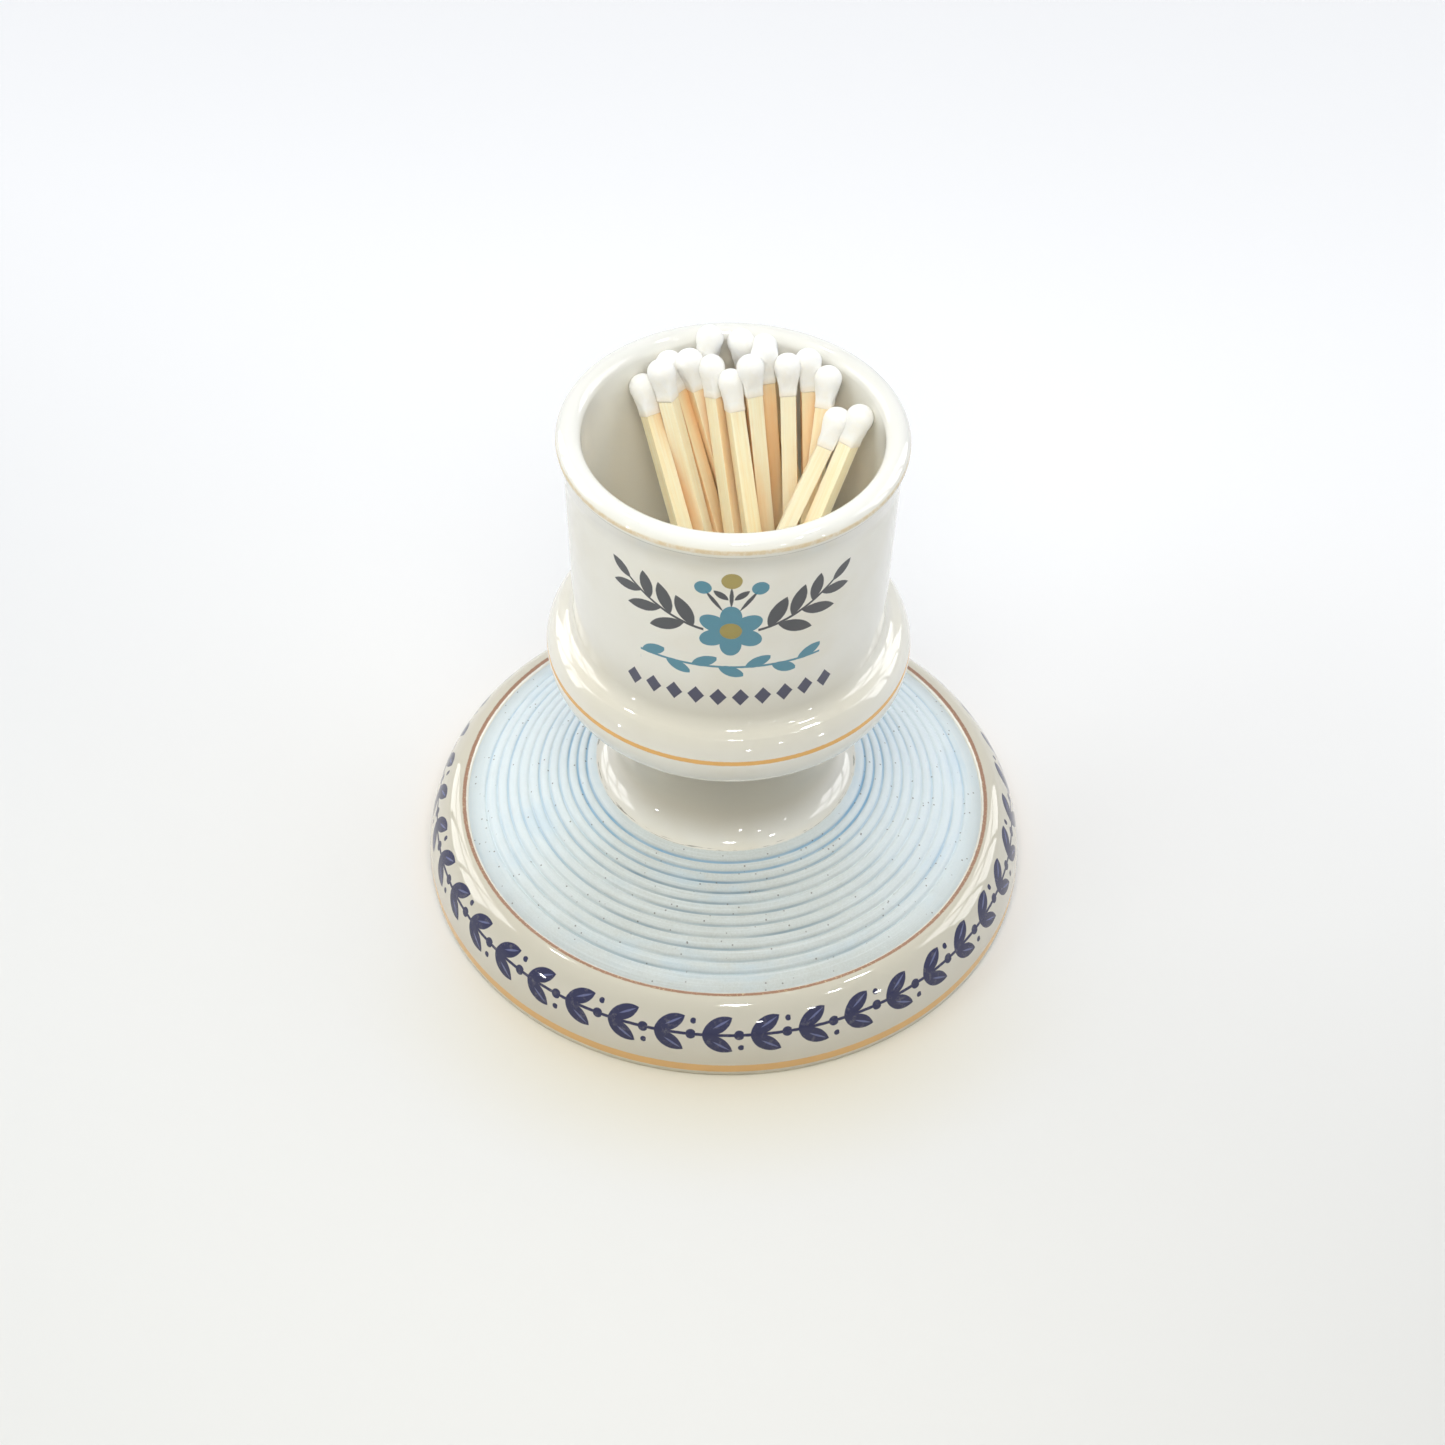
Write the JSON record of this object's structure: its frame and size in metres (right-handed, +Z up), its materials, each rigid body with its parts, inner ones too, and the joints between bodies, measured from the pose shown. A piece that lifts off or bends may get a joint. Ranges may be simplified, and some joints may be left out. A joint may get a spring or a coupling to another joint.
{
  "type": "match striker",
  "caption": "Footed porcelain match striker: a cup of loose wooden matches on a short stem over a ridged striking disc with a rounded rim.",
  "frame": {"origin": "centre of the foot ring, on the table", "axes": "+Z up along the axis of the cup, -Y towards the viewer, who sees the matches lean to the back"},
  "size_m": [0.1024, 0.1024, 0.0954],
  "materials": {
    "porcelain": "gloss",
    "match_wood": "matte",
    "match_dip": "matte"
  },
  "bodies": {
    "root": {"striker_body": "porcelain", "match_01_stick": "match_wood", "match_02_stick": "match_wood", "match_03_stick": "match_wood", "match_04_stick": "match_wood", "match_05_stick": "match_wood", "match_06_stick": "match_wood", "match_07_stick": "match_wood", "match_08_stick": "match_wood", "match_09_stick": "match_wood", "match_10_stick": "match_wood", "match_11_stick": "match_wood", "match_12_stick": "match_wood", "match_13_stick": "match_wood", "match_14_stick": "match_wood", "match_15_stick": "match_wood", "match_16_stick": "match_wood", "match_01_head": "match_dip", "match_02_head": "match_dip", "match_03_head": "match_dip", "match_04_head": "match_dip", "match_05_head": "match_dip", "match_06_head": "match_dip", "match_07_head": "match_dip", "match_08_head": "match_dip", "match_09_head": "match_dip", "match_10_head": "match_dip", "match_11_head": "match_dip", "match_12_head": "match_dip", "match_13_head": "match_dip", "match_14_head": "match_dip", "match_15_head": "match_dip", "match_16_head": "match_dip"}
  },
  "joints": []
}
